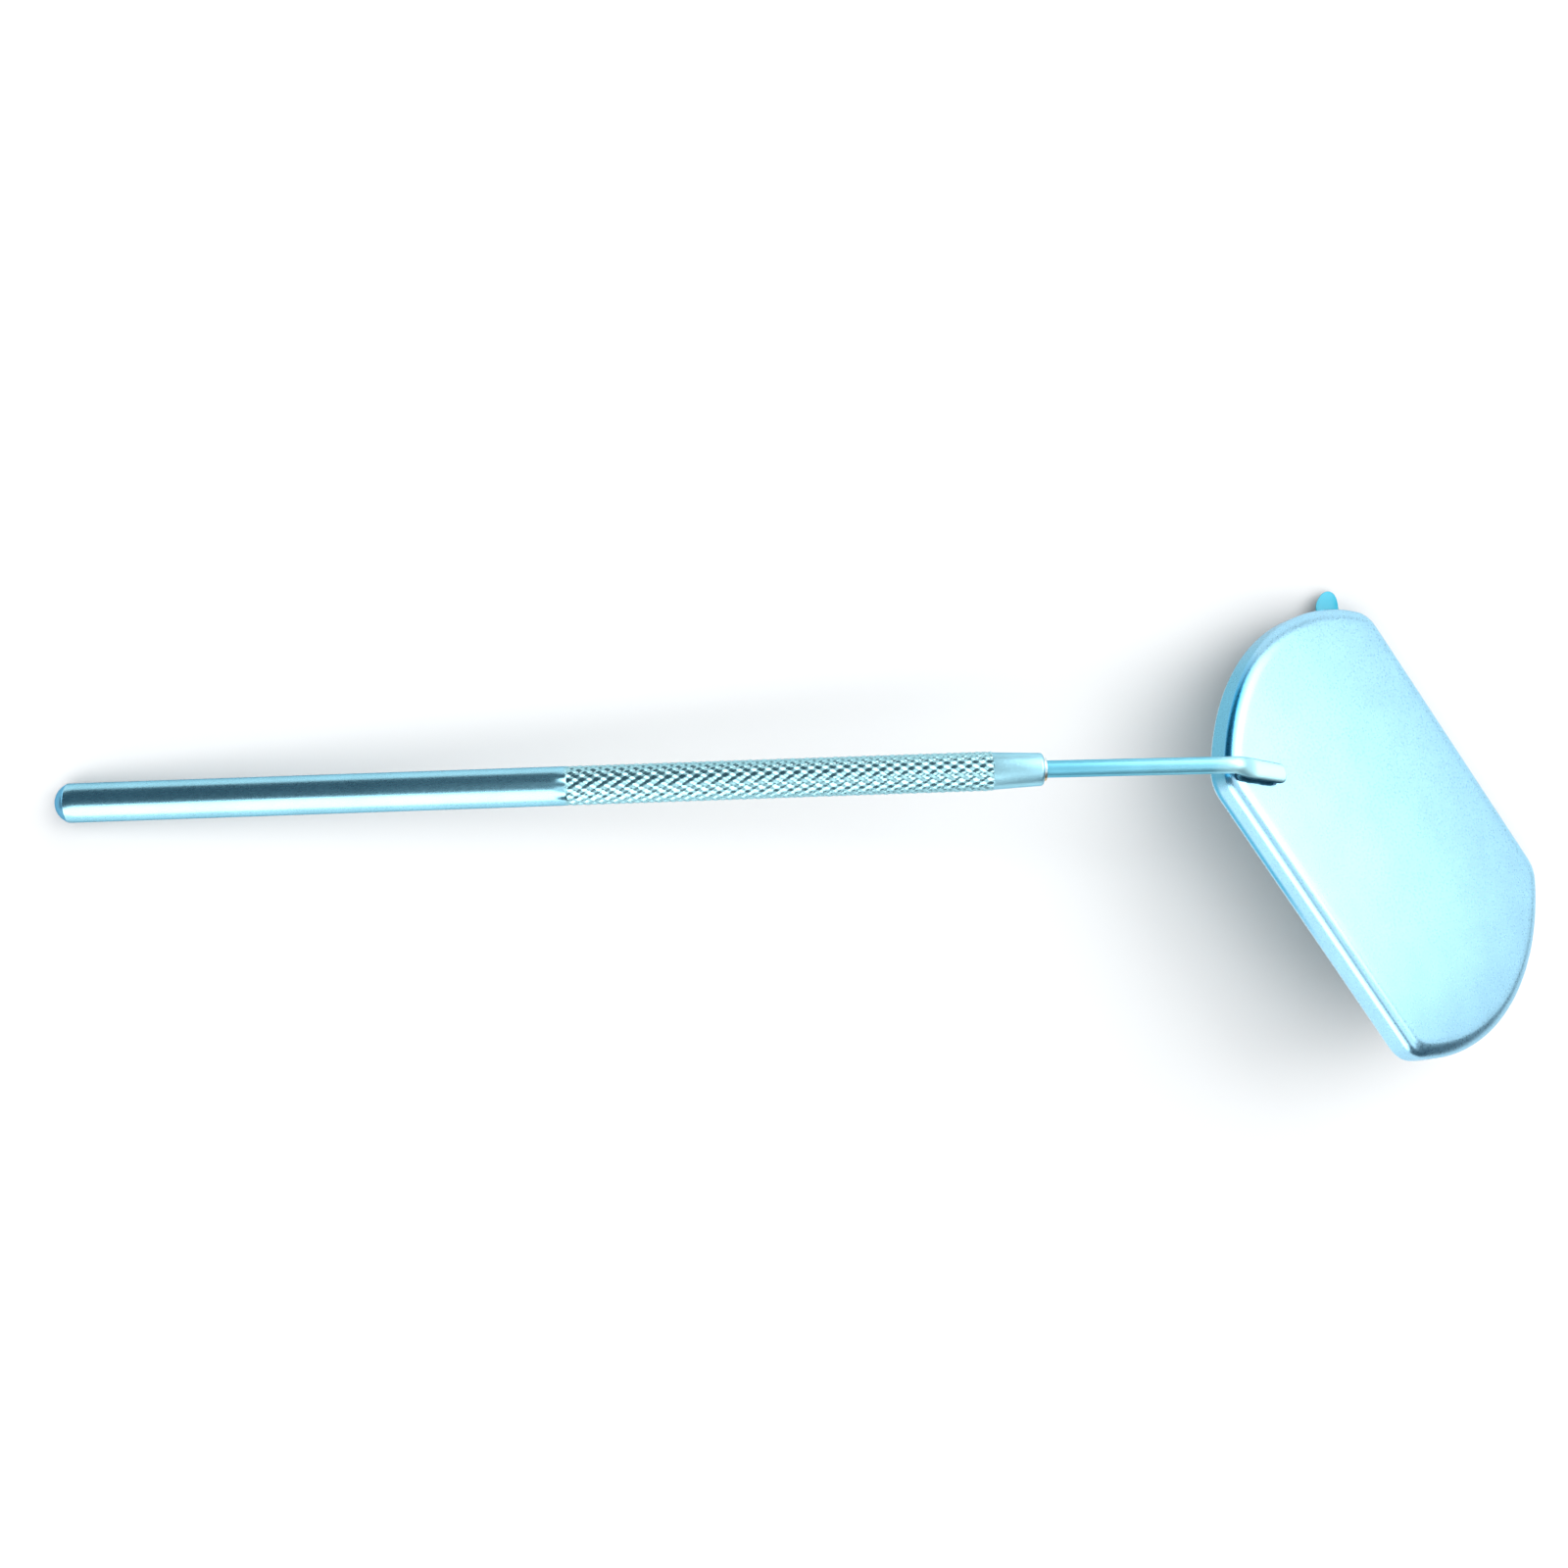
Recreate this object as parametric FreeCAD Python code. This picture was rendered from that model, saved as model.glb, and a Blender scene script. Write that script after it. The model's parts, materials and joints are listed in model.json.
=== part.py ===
import FreeCAD, Part
import math
import os

# Mouth mirror with a hollow knurled handle and a screw-in head, in millimetres.
#
# Three frames are used:
#   handle frame  x runs along the handle from its free tip to the head, y and z across it
#   blade frame   x runs along the flattened stem end towards the middle of the head,
#                 z is the outward normal of the head's back, the handle lies in its xz plane
#   head frame    x runs along the head's long axis, y across it, z = 0 is the plane of the
#                 rim on the mirror side and z = HEAD_DEPTH is the back face
# All solids end up in the rest frame: +Z up, standing on z = 0 as the mirror lies on a table.

from FreeCAD import Placement, Rotation, Vector

# handle, positions measured along it from the free tip
HANDLE_LENGTH = 125.0
HANDLE_RADIUS = 2.5
TUBE_BORE = 1.7
DOME_HEIGHT = 1.7
KNURL_START = 64.5
KNURL_END = 118.5
KNURL_CREST = 2.53
CAP_SHANK_LENGTH = 6.0
PLUG_PLAY = 0.01

# tapered nose with the tapped socket, M2.5 x 0.45
NOSE_BASE = 2.4
NOSE_TIP = 2.08
NOSE_EDGE = 0.3
NOSE_SHANK_LENGTH = 8.5
SOCKET_RADIUS = 1.25
SOCKET_DEPTH = 7.6
DRILL_POINT = 0.5
RING_SEAT_RADIUS = 1.58
RING_SEAT_DEPTH = 0.6

# captive ring between the nose and the stem
RING_RADIUS = 1.5
RING_BORE = 1.15
RING_LENGTH = 1.2
RING_CHAMFER = 0.2
RING_START = HANDLE_LENGTH - RING_SEAT_DEPTH
RING_END = RING_START + RING_LENGTH

# stem: threaded tail, round neck, bend and flattened blade
STEM_RADIUS = 1.1
TAIL_RADIUS = 1.2
TAIL_LENGTH = 6.0
TAIL_CHAMFER = 0.3
SHOULDER_GAP = 0.02
NECK_LENGTH = 24.2
NECK_SET = 0.7
SET_RADIUS = 8.0
STEM_ANGLE = 33.5
BEND_RADIUS = 2.2
BLADE_WIDTH = 2.9
BLADE_TIP_WIDTH = 2.6
BLADE_THICKNESS = 1.1
BLADE_LENGTH = 9.1
BLADE_SET = 1.5
BLADE_TAPER = 1.9
TAPER_STEPS = 5
BLADE_TIP_CORNER = 0.7
TIP_MARGIN = 0.1
ROUND_POWER = 2.0
FLAT_POWER = 5.0
SECTION_POINTS = 32

# braze under the blade, which lies a hair above it
BLADE_LIFT = 0.2
BRAZE_THICKNESS = 0.19
BRAZE_SPILL = 0.3
BRAZE_END = 7.8
BRAZE_START_CORNER = 1.2
BRAZE_END_CORNER = 0.6

# head: a disc cut by two parallel chords, with rounded corners
HEAD_RADIUS = 31.5
HALF_WIDTH = 21.8
CORNER_RADIUS = 4.7
HEAD_DEPTH = 3.9
BACK_EDGE = 1.3
RIM_EDGE = 0.5
SHEET = 0.6

# the stem comes in over the centre of the head's -x -y corner rounding
STEM_HEADING = 47.5
BEND_REACH = 4.9

# layers, from the rim plane towards the back
GLASS_GAP = 0.15
GLASS_START = 0.05
GLASS_THICKNESS = 2.0
GLASS_CHAMFER = 0.2
SILVER_THICKNESS = 0.05
PAINT_THICKNESS = 0.1
PAD_INSET = 2.0

# protective film on the mirror side
FILM_THICKNESS = 0.1
FILM_LIFT = 0.02
FILM_INSET = 0.9
TAB_WIDTH = 4.5
TAB_REACH = 35.2
TAB_HEADING = 144.8

# working values
EDGE_TOLERANCE = 1e-4
CUT_PAST = 1.0
LARGEST_LEAN = 60.0
LEAN_HALVINGS = 60

ORIGIN = Vector(0, 0, 0)
X_AXIS = Vector(1, 0, 0)
Y_AXIS = Vector(0, 1, 0)
Z_AXIS = Vector(0, 0, 1)


# ---- small helpers ---------------------------------------------------------------------

def turned(profile):
    """A solid turned about the x axis from (x, radius) points."""
    points = [Vector(x, 0, r) for x, r in profile]
    face = Part.Face(Part.makePolygon(points + points[:1]))
    return face.revolve(ORIGIN, X_AXIS, 360)


def heading(degrees, length=1.0):
    """A vector in the xy plane at this angle from x."""
    angle = math.radians(degrees)
    return Vector(length * math.cos(angle), length * math.sin(angle), 0)


def edges_at(shape, z):
    """The edges of shape that lie wholly at this height."""
    return [
        edge for edge in shape.Edges
        if abs(edge.BoundBox.ZMin - z) + abs(edge.BoundBox.ZMax - z) < EDGE_TOLERANCE
    ]


def moved(shape, placement):
    shape = shape.copy()
    shape.Placement = placement.multiply(shape.Placement)
    return shape


def line(start, end):
    return Part.LineSegment(start, end).toShape()


def arc(start, middle, end):
    return Part.Arc(start, middle, end).toShape()


# ---- handle pieces, in the handle frame --------------------------------------------------

def make_handle_tube():
    """The tube: smooth from the cap to the grip, then the band that carries the knurling."""
    return turned([
        (DOME_HEIGHT, TUBE_BORE),
        (DOME_HEIGHT, HANDLE_RADIUS),
        (KNURL_START, HANDLE_RADIUS),
        (KNURL_START, KNURL_CREST),
        (KNURL_END, KNURL_CREST),
        (KNURL_END, TUBE_BORE),
    ])


def make_end_cap():
    """A spherical cap on a shank that is pressed into the tube."""
    sphere_radius = (HANDLE_RADIUS ** 2 + DOME_HEIGHT ** 2) / (2 * DOME_HEIGHT)
    slope = math.asin(HANDLE_RADIUS / sphere_radius) / 2
    rim = Vector(DOME_HEIGHT, 0, HANDLE_RADIUS)
    halfway = Vector(sphere_radius * (1 - math.cos(slope)), 0, sphere_radius * math.sin(slope))
    shank = TUBE_BORE - PLUG_PLAY
    shank_end = DOME_HEIGHT + CAP_SHANK_LENGTH
    corners = [
        rim,
        Vector(DOME_HEIGHT, 0, shank),
        Vector(shank_end, 0, shank),
        Vector(shank_end, 0, 0),
        ORIGIN,
    ]
    outline = Part.Wire([arc(ORIGIN, halfway, rim), *Part.makePolygon(corners).Edges])
    return Part.Face(outline).revolve(ORIGIN, X_AXIS, 360)


def make_nose_bush():
    """The tapered nose, its shank inside the tube, and the blind socket for the stem."""
    shank = TUBE_BORE - PLUG_PLAY
    bottom = HANDLE_LENGTH - SOCKET_DEPTH
    bush = turned([
        (KNURL_END - NOSE_SHANK_LENGTH, 0),
        (KNURL_END - NOSE_SHANK_LENGTH, shank),
        (KNURL_END, shank),
        (KNURL_END, NOSE_BASE),
        (HANDLE_LENGTH, NOSE_TIP),
        (HANDLE_LENGTH, 0),
    ])
    front = [
        edge for edge in bush.Edges
        if edge.BoundBox.XMin > HANDLE_LENGTH - EDGE_TOLERANCE and edge.Length > NOSE_TIP
    ]
    bush = bush.makeFillet(NOSE_EDGE, front)
    socket = turned([
        (bottom - DRILL_POINT, 0),
        (bottom, SOCKET_RADIUS),
        (RING_START, SOCKET_RADIUS),
        (RING_START, RING_SEAT_RADIUS),
        (HANDLE_LENGTH + CUT_PAST, RING_SEAT_RADIUS),
        (HANDLE_LENGTH + CUT_PAST, 0),
    ])
    return bush.cut(socket)


def make_neck_ring():
    """The loose ring round the neck, held on it by the thread's shoulder."""
    return turned([
        (RING_START, RING_BORE),
        (RING_START, RING_RADIUS),
        (RING_END - RING_CHAMFER, RING_RADIUS),
        (RING_END, RING_RADIUS - RING_CHAMFER),
        (RING_END, RING_BORE),
    ])


def neck_to_blade():
    """Carries the neck frame, with x along the neck from the ring, to the blade frame."""
    rotation = Rotation(Y_AXIS, -STEM_ANGLE)
    bend = Vector(0, 0, HEAD_DEPTH + BLADE_LIFT + STEM_RADIUS)
    return Placement(bend - rotation.multVec(Vector(NECK_LENGTH, 0, 0)), rotation)


def handle_to_blade():
    """Carries the handle frame to the blade frame: the neck has a slight set at the ring."""
    rotation = Rotation(Z_AXIS, NECK_SET)
    ring = Placement(rotation.multVec(Vector(-RING_END, 0, 0)), rotation)
    return neck_to_blade().multiply(ring)


# ---- stem and braze, in the blade frame --------------------------------------------------

def blade_section(x, share, width=BLADE_WIDTH):
    """The stem's section, from round at share 0 to flattened at share 1, on a level underside."""
    half_width = STEM_RADIUS + share * (width / 2 - STEM_RADIUS)
    half_height = STEM_RADIUS + share * (BLADE_THICKNESS / 2 - STEM_RADIUS)
    power = 2 / (ROUND_POWER + share * (FLAT_POWER - ROUND_POWER))
    middle = HEAD_DEPTH + BLADE_LIFT + half_height
    points = []
    for step in range(SECTION_POINTS):
        angle = 2 * math.pi * step / SECTION_POINTS
        across = math.copysign(abs(math.cos(angle)) ** power, math.cos(angle))
        up = math.copysign(abs(math.sin(angle)) ** power, math.sin(angle))
        points.append(Vector(x, half_width * across, middle + half_height * up))
    curve = Part.BSplineCurve()
    curve.interpolate(points, PeriodicFlag=True)
    return Part.Wire(curve.toShape())


def rounded_plan(start, end, half, start_corner, end_corner):
    """A rectangle along the blade, with its corners rounded by one radius at each end."""
    edges = []
    for x, inward, corner in ((start, 1, start_corner), (end, -1, end_corner)):
        edges.append(line(Vector(x, corner - half, 0), Vector(x, half - corner, 0)))
        for side in (1, -1):
            centre = Vector(x + inward * corner, side * (half - corner), 0)
            middle = centre + Vector(-inward, side, 0).normalize() * corner
            edges.append(arc(Vector(x, centre.y, 0), middle, Vector(centre.x, side * half, 0)))
    for side in (half, -half):
        side_start = Vector(start + start_corner, side, 0)
        side_end = Vector(end - end_corner, side, 0)
        edges.append(line(side_start, side_end))
    plan = Part.Wire(Part.__sortEdges__(edges))
    plan.rotate(ORIGIN, Z_AXIS, BLADE_SET)
    return Part.Face(plan)


def round_end(centre):
    """The wire's round section at this point, facing along x."""
    return Part.Face(Part.Wire(Part.makeCircle(STEM_RADIUS, centre, X_AXIS)))


def make_mirror_stem():
    """Threaded tail, round neck, the bend over the head's corner and the flattened blade."""
    level = HEAD_DEPTH + BLADE_LIFT + STEM_RADIUS
    tangent = BEND_RADIUS * math.tan(math.radians(STEM_ANGLE / 2))
    set_tangent = SET_RADIUS * math.tan(math.radians(NECK_SET / 2))
    tail_end = RING_START - SHOULDER_GAP
    tail_start = tail_end - TAIL_LENGTH
    tail = turned([
        (tail_start, 0),
        (tail_start, TAIL_RADIUS - TAIL_CHAMFER),
        (tail_start + TAIL_CHAMFER, TAIL_RADIUS),
        (tail_end, TAIL_RADIUS),
        (tail_end, STEM_RADIUS),
        (RING_END - set_tangent, STEM_RADIUS),
        (RING_END - set_tangent, 0),
    ])
    tail = moved(tail, handle_to_blade())
    neck_start = Vector(set_tangent, 0, 0)
    neck = Part.makeCylinder(STEM_RADIUS, NECK_LENGTH - tangent - set_tangent, neck_start, X_AXIS)
    set_bend = round_end(neck_start).revolve(Vector(set_tangent, -SET_RADIUS, 0), Z_AXIS, NECK_SET)
    neck = moved(neck.fuse(set_bend), neck_to_blade())
    bend_centre = Vector(tangent, 0, level - BEND_RADIUS)
    bend_end = round_end(Vector(tangent, 0, level))
    bend = bend_end.revolve(bend_centre, Y_AXIS, -STEM_ANGLE)

    sections = [bend_end.OuterWire]
    for step in range(1, TAPER_STEPS + 1):
        along = step / TAPER_STEPS
        share = along * along * (3 - 2 * along)
        section = blade_section(tangent + BLADE_TAPER * along, share)
        section.rotate(ORIGIN, Z_AXIS, BLADE_SET * share)
        sections.append(section)
    taper = Part.makeLoft(sections, True, False)
    tip_section = blade_section(BLADE_LENGTH + TIP_MARGIN, 1, BLADE_TIP_WIDTH)
    tip_section.rotate(ORIGIN, Z_AXIS, BLADE_SET)
    flat = Part.makeLoft([sections[-1], tip_section], True, True)
    half = BLADE_WIDTH / 2 + TIP_MARGIN
    plan = rounded_plan(0, BLADE_LENGTH, half, BLADE_TIP_CORNER, BLADE_TIP_CORNER)
    flat = flat.common(plan.extrude(Vector(0, 0, 2 * HEAD_DEPTH)))
    return tail.fuse([neck, bend, taper, flat]).removeSplitter()


def make_braze_pad():
    """The filler under the blade, which runs out past its sides and stops short of its tip."""
    start = BEND_RADIUS * math.tan(math.radians(STEM_ANGLE / 2))
    half = BLADE_WIDTH / 2 + BRAZE_SPILL
    plan = rounded_plan(start, BRAZE_END, half, BRAZE_START_CORNER, BRAZE_END_CORNER)
    pad = plan.extrude(Vector(0, 0, BRAZE_THICKNESS))
    pad.translate(Vector(0, 0, HEAD_DEPTH))
    return pad


def corner_centre():
    """Centre of the rounding at the head's +x +y corner."""
    across = HALF_WIDTH - CORNER_RADIUS
    return Vector(math.sqrt((HEAD_RADIUS - CORNER_RADIUS) ** 2 - across ** 2), across, 0)


def blade_to_head():
    """Carries the blade frame to the head frame: the stem crosses the -x -y corner."""
    bend = corner_centre() * -1 - heading(STEM_HEADING, BEND_REACH)
    return Placement(bend, Rotation(Z_AXIS, STEM_HEADING))


# ---- head pieces, in the head frame ------------------------------------------------------

def head_outline(inset):
    """The head's outline moved inwards by inset: two chords, two long arcs, four corners."""
    centre = corner_centre()
    radius = HEAD_RADIUS - inset
    half = HALF_WIDTH - inset
    corner = CORNER_RADIUS - inset
    touch = centre * (radius / centre.Length)
    middle = heading(45 + math.degrees(math.atan2(centre.y, centre.x)) / 2, corner)
    middle = centre + middle

    def flip(point, x, y):
        return Vector(x * point.x, y * point.y, 0)

    chord_end = Vector(centre.x, half, 0)
    edges = []
    for side in (1, -1):
        edges.append(line(flip(chord_end, -side, side), flip(chord_end, side, side)))
        edges.append(arc(flip(chord_end, side, side), flip(middle, side, side), flip(touch, side, side)))
        edges.append(arc(flip(touch, side, side), Vector(side * radius, 0, 0), flip(touch, side, -side)))
        edges.append(arc(flip(touch, side, -side), flip(middle, side, -side), flip(chord_end, side, -side)))
    return Part.Wire(Part.__sortEdges__(edges))


def slab(inset, low, high):
    """A plate with the head's outline between two heights."""
    plate = Part.Face(head_outline(inset)).extrude(Vector(0, 0, high - low))
    plate.translate(Vector(0, 0, low))
    return plate


def make_back_shell():
    """The pressed pan: a rounded back edge, a rolled rim and one sheet thickness all over."""
    outside = slab(0, 0, HEAD_DEPTH)
    outside = outside.makeFillet(BACK_EDGE, edges_at(outside, HEAD_DEPTH))
    outside = outside.makeFillet(RIM_EDGE, edges_at(outside, 0))
    pocket = slab(SHEET, -CUT_PAST, HEAD_DEPTH - SHEET)
    pocket = pocket.makeFillet(BACK_EDGE - SHEET, edges_at(pocket, HEAD_DEPTH - SHEET))
    return outside.cut(pocket)


def make_mirror_glass():
    glass = slab(SHEET + GLASS_GAP, GLASS_START, GLASS_START + GLASS_THICKNESS)
    return glass.makeChamfer(GLASS_CHAMFER, edges_at(glass, GLASS_START))


def layer_heights():
    """Heights of the silver, paint and adhesive layers behind the glass."""
    silver = GLASS_START + GLASS_THICKNESS
    paint = silver + SILVER_THICKNESS
    adhesive = paint + PAINT_THICKNESS
    return silver, paint, adhesive, HEAD_DEPTH - SHEET


def make_coatings():
    """The silver layer, its backing paint and the adhesive pad, one behind the other."""
    silver, paint, adhesive, floor = layer_heights()
    edge = SHEET + GLASS_GAP
    return {
        "silver_layer": slab(edge, silver, paint),
        "backing_paint": slab(edge, paint, adhesive),
        "adhesive_pad": slab(edge + PAD_INSET, adhesive, floor),
    }


def make_protective_film():
    """The film over the mirror face, with a round-ended pull tab past the rim."""
    sheet = Part.Face(head_outline(FILM_INSET))
    half = TAB_WIDTH / 2
    root = heading(TAB_HEADING, HEAD_RADIUS - CORNER_RADIUS)
    tip = heading(TAB_HEADING, TAB_REACH)
    centre = heading(TAB_HEADING, TAB_REACH - half)
    side = heading(TAB_HEADING + 90, half)
    tab = Part.Face(Part.Wire([
        line(root - side, centre - side),
        arc(centre - side, tip, centre + side),
        line(centre + side, root + side),
        line(root + side, root - side),
    ]))
    up = Vector(0, 0, FILM_THICKNESS)
    film = sheet.extrude(up).fuse(tab.extrude(up)).removeSplitter()
    film.translate(Vector(0, 0, -FILM_LIFT - FILM_THICKNESS))
    return film


# ---- lying on a table --------------------------------------------------------------------

def handle_axis_in_head():
    """Direction of the handle towards the head, and the centre of the cap's rim, head frame."""
    to_head = blade_to_head().multiply(handle_to_blade())
    return to_head.Rotation.multVec(X_AXIS), to_head.multVec(Vector(DOME_HEIGHT, 0, 0))


def up_direction(lean):
    """Up, in the head frame, when the head leans this much about its long edge."""
    angle = math.radians(lean)
    return Vector(0, -math.sin(angle), math.cos(angle))


def edge_above_handle(lean):
    """Height of the head's long edge above the handle's free end at this lean."""
    up = up_direction(lean)
    axis, rim = handle_axis_in_head()
    edge = up.dot(Vector(0, HALF_WIDTH - RIM_EDGE, RIM_EDGE)) - RIM_EDGE
    handle = up.dot(rim) - HANDLE_RADIUS * math.sqrt(1 - up.dot(axis) ** 2)
    return edge - handle


def resting_lean():
    """The lean at which the long edge and the free end both touch the table."""
    low, high = 0.0, LARGEST_LEAN
    for _ in range(LEAN_HALVINGS):
        middle = (low + high) / 2
        if edge_above_handle(middle) > 0:
            low = middle
        else:
            high = middle
    return low


def head_to_table():
    """Turns the head frame so that z is up and the handle points along x, seen from above."""
    up = up_direction(resting_lean())
    axis, _ = handle_axis_in_head()
    forward = (axis - up * up.dot(axis)).normalize()
    return Placement(ORIGIN, Rotation(forward, up.cross(forward), up, "ZXY").inverted())


# ---- assembly ----------------------------------------------------------------------------

def build():
    """Every piece by its name, in the rest frame, with the origin below the middle."""
    blade = blade_to_head()
    handle = blade.multiply(handle_to_blade())
    pieces = {
        "handle_tube": moved(make_handle_tube(), handle),
        "end_cap": moved(make_end_cap(), handle),
        "nose_bush": moved(make_nose_bush(), handle),
        "neck_ring": moved(make_neck_ring(), handle),
        "mirror_stem": moved(make_mirror_stem(), blade),
        "braze_pad": moved(make_braze_pad(), blade),
        "back_shell": make_back_shell(),
        "mirror_glass": make_mirror_glass(),
        **make_coatings(),
        "protective_film": make_protective_film(),
    }
    table = head_to_table()
    pieces = {name: moved(shape, table) for name, shape in pieces.items()}
    box = Part.makeCompound(list(pieces.values())).optimalBoundingBox(False, False)
    shift = Placement(Vector(-box.Center.x, -box.Center.y, -box.ZMin), Rotation())
    return {name: moved(shape, shift) for name, shape in pieces.items()}, shift.multiply(table)


def main():
    os.makedirs("parts", exist_ok=True)
    pieces, head_frame = build()
    for name, shape in pieces.items():
        print(f"{name:16s} volume {shape.Volume:9.2f}  valid {shape.isValid()}  solids {len(shape.Solids)}")
        shape.exportStep(f"parts/{name}.step")
    handle_frame = head_frame.multiply(blade_to_head()).multiply(handle_to_blade())
    axis = handle_frame.Rotation.multVec(X_AXIS)
    normal = head_frame.Rotation.multVec(Z_AXIS)
    print("handle tip", handle_frame.Base, "axis", axis)
    print("head centre", head_frame.Base, "long axis", head_frame.Rotation.multVec(X_AXIS), "back", normal)


main()
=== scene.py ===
import json
import math

import bmesh
import bpy
from mathutils import Matrix, Vector


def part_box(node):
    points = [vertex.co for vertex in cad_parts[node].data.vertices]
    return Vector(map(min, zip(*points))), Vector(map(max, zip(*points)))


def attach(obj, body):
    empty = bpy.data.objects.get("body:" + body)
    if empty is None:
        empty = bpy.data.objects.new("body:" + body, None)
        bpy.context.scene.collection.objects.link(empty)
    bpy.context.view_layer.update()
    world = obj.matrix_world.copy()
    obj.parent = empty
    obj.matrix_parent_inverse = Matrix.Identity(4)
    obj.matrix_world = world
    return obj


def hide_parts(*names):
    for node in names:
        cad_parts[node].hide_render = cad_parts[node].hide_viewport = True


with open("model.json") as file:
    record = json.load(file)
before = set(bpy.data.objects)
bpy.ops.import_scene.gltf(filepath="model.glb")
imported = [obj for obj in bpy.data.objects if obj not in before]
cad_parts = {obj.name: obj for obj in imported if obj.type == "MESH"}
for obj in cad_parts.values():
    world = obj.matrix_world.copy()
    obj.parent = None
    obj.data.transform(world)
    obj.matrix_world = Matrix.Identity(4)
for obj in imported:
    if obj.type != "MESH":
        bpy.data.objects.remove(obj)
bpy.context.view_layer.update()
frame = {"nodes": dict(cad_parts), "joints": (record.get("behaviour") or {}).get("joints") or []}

# Sizes are in millimetres and become metres where a mesh is made.
MM = 0.001

# handle, along its axis from the free tip
DOME_HEIGHT = 1.7
TUBE_RADIUS = 2.5
TUBE_BORE = 1.7
TUBE_EDGE = 0.03
KNURL_START = 64.5
KNURL_END = 118.5
KNURL_CREST = 2.53
KNURL_DEPTH = 0.26
KNURL_PIT_SHARE = 0.5
KNURL_SHARPNESS = 1.35
KNURL_STARTS = 13
KNURL_PITCH = 1.8
KNURL_FADE = 0.25
KNURL_STEPS = 14
GRIP_BLUR = 0.3
PLUG_RADIUS = 1.69
CAP_SHANK_END = 7.7
CAP_COLUMNS = 96
NOSE_BASE = 2.4
NOSE_TIP = 2.08
NOSE_LIP = 0.4
NOSE_STEP = 0.02
NOSE_EDGE = 0.08
MOUTH_CHAMFER = 0.05
NOSE_SHANK_START = 110.0
HANDLE_LENGTH = 125.0
SOCKET_BOTTOM = 117.4
SOCKET_RADIUS = 1.25
SOCKET_EDGE = 0.1
SOCKET_THREAD_SHARE = 0.6
DRILL_POINT = 0.5
RING_SEAT = 124.4
RING_SEAT_RADIUS = 1.58
# the head's pivot on the handle's axis, and the ring's face, which stops a little short of it
RING_END = 125.6
RING_FACE = 125.4
RING_RADIUS = 1.5
RING_BORE = 1.15
RING_EDGE = 0.14
# where the ring's painted highlight fades in, across it from the axis
RING_HIGHLIGHT_SPAN = (-0.9, -0.3)

# stem
THREAD_PITCH = 0.45
THREAD_DEPTH = 0.2
TAIL_START = 118.38
TAIL_END = 124.38
TAIL_RADIUS = 1.2
TAIL_CHAMFER = 0.3
STEM_RADIUS = 1.1
NECK_LENGTH = 24.2
# half the step from the tail's last ring of points to the neck's first
NECK_JOIN = 0.05
STEM_ANGLE = math.radians(33.5)
BEND_RADIUS = 2.2
# from the bend's corner to where its curve begins and ends
BEND_TANGENT = BEND_RADIUS * math.tan(STEM_ANGLE / 2)
BLADE_LIFT = 0.2
BLADE_HALF_WIDTH = 1.45
BLADE_TIP_HALF_WIDTH = 1.3
BLADE_THICKNESS = 1.1
BLADE_LENGTH = 9.1
BLADE_SET = math.radians(1.5)
BLADE_TIP_CORNER = 0.75
BLADE_EDGE = 0.25
FLAT_POWER = 3.2
FLATTEN_START = -1.0
FLATTEN_LENGTH = 4.6
# where the coat's tones, the painted highlight and the painted shade begin and end:
# along the blade's axis from the bend, and up from its underside
NECK_TONE = (-18, -8)
BLADE_HIGHLIGHT_SPAN = (-3.5, -0.5)
LOW_SHADE_TOP = (0.75, 1.0)
BRAZE_SPILL = 0.3
BRAZE_END = 7.8
BRAZE_HEIGHT = 0.34
BRAZE_WAVE = 0.07
BRAZE_RIPPLE = 0.6
BRAZE_TIP_CORNER = 0.7
BRAZE_ROOT_CORNER = 1.2
BRAZE_SPACING = 0.25
BRAZE_LIFT = 0.004
BRAZE_RUN = 1.3
BRAZE_END_LEAN = 0.4

# head
HEAD_RADIUS = 31.5
HALF_WIDTH = 21.8
CORNER_RADIUS = 4.7
HEAD_DEPTH = 3.9
# the pan's rounded edge: how far in from the outline it ends on the inside, and its width and height outside
BACK_EDGE = 1.3
BACK_ROUNDING = 2.0
BACK_DROP = 1.45
RIM_EDGE = 0.5
SHEET = 0.6
SHEET_BREAK = 0.04
STEM_HEADING = math.radians(47.5)
BEND_REACH = 4.9
SILVER_MIDDLE = 2.075
ARC_STEPS = 56
CORNER_STEPS = 14
CHORD_STEPS = 30
FACE_RING_GAP = 0.7
# where the shell's painted shade and the line of painted reflection begin and end: from the middle towards
# the stem's corner, over the rim plane, and along the head
WALL_SHADE_SPAN = (19, 28)
BEND_SHADE_SPAN = (25.5, 29.5)
LINE_FOOT = (0.3, 0.6)
LINE_TOP = (0.8, 1.2)
LINE_FADE = (-6, 4)

# film on the mirror side
FILM_INSET = 0.9
FILM_TOP = -0.02
FILM_THICKNESS = 0.1
TAB_HALF_WIDTH = 2.4
TAB_REACH = 34.85
TAB_HEADING = math.radians(144.8)
TAB_RISE_START = 31.7
TAB_RISE = 1.0
TAB_CURL = 1.6

# points round a turned piece or the stem, and the angle from which a fold in a mesh shows as an edge
COLUMNS = 72
SHARP_ANGLE = math.radians(40)

# floor, in metres from the middle of the object; the radius and fade place the painted shade that greys it
# far out
FLOOR_SIZE = 6
FLOOR_RADIUS = 0.17
FLOOR_FADE = 0.28

# camera, in metres
CAMERA_PLACE = Vector((-0.0486, 0.0252, 0.2432))
CAMERA_TARGET = Vector((-0.0095, 0.0086, 0.0100))
CAMERA_UP = Vector((0.0454, 0.9970, -0.0635))
CAMERA_LENS = 41.66

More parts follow.
